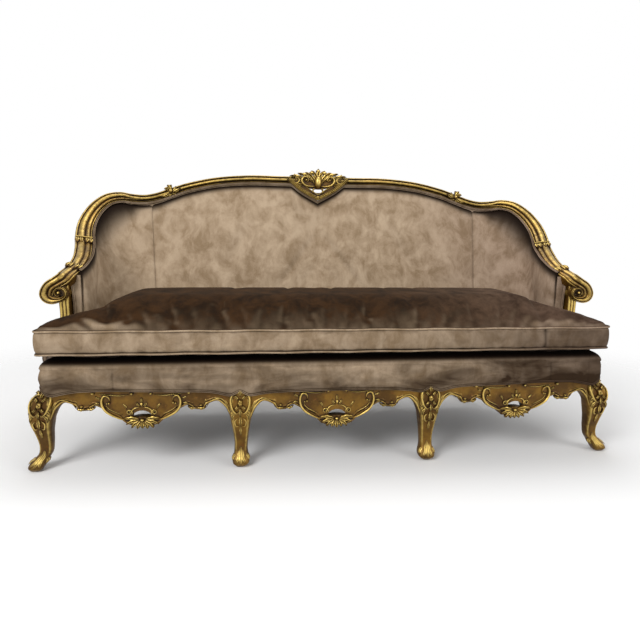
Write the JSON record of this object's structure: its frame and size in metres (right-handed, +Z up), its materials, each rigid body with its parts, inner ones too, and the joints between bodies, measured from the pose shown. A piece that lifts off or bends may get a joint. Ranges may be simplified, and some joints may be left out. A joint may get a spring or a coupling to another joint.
{
  "type": "cabriole sofa",
  "caption": "Long sofa with a carved gilt show-wood frame on cabriole legs, moulded serpentine top rail, padded velvet back and wings, sprung seat and one long loose boxed cushion.",
  "frame": {"origin": "centre of the bounding box at floor level", "axes": "+X along the sofa to the right as seen from the front, +Y from the front to the back, +Z up"},
  "size_m": [2.021, 0.78, 1.0586],
  "materials": {
    "gilt_wood": "water-gilded carved wood with worn highlights and dark patina in the recesses",
    "velvet": "short mottled taupe-brown velvet with a strong nap",
    "timber": "sawn unfinished hardwood",
    "jute": "woven jute webbing and hessian",
    "steel": "plain bright steel",
    "black_cloth": "plain black cambric"
  },
  "bodies": {
    "frame": {"front_rail_left": "gilt_wood", "front_rail_centre": "gilt_wood", "front_rail_right": "gilt_wood", "side_rail_left": "gilt_wood", "side_rail_right": "gilt_wood", "back_seat_rail": "timber", "seat_stretchers": "timber", "corner_blocks": "timber", "corner_block_screws": "steel", "front_leg_outer_left": "gilt_wood", "front_leg_outer_right": "gilt_wood", "front_leg_inner_left": "gilt_wood", "front_leg_inner_right": "gilt_wood", "rear_leg_outer_left": "gilt_wood", "rear_leg_outer_right": "gilt_wood", "rear_leg_inner_left": "gilt_wood", "rear_leg_inner_right": "gilt_wood", "foot_glides": "steel", "knee_carvings": "gilt_wood", "apron_carving_left": "gilt_wood", "apron_carving_centre": "gilt_wood", "apron_carving_right": "gilt_wood", "arm_support_left": "gilt_wood", "arm_support_right": "gilt_wood", "arm_left": "gilt_wood", "arm_right": "gilt_wood", "wing_rail_left": "gilt_wood", "wing_rail_right": "gilt_wood", "crest_rail": "gilt_wood", "crest_carving": "gilt_wood", "shoulder_carving_left": "gilt_wood", "shoulder_carving_right": "gilt_wood", "tacking_rail": "timber", "seat_webbing": "jute", "seat_springs": "steel", "spring_hessian": "jute", "seat_deck": "velvet", "deck_welt": "velvet", "dust_cover": "black_cloth", "back_webbing": "jute", "back_pad": "velvet", "wing_pad_left": "velvet", "wing_pad_right": "velvet", "back_welt": "velvet", "outside_back_cover": "velvet", "outside_arm_cover_left": "velvet", "outside_arm_cover_right": "velvet"},
    "cushion": {"seat_cushion": "velvet", "cushion_piping_top": "velvet", "cushion_piping_bottom": "velvet", "cushion_zip": "black_cloth"}
  },
  "joints": [
    {"name": "cushion_lift", "type": "slide", "parent": "frame", "child": "cushion", "axis": [0, 0, 1], "range_m": [0, 0.65]}
  ]
}
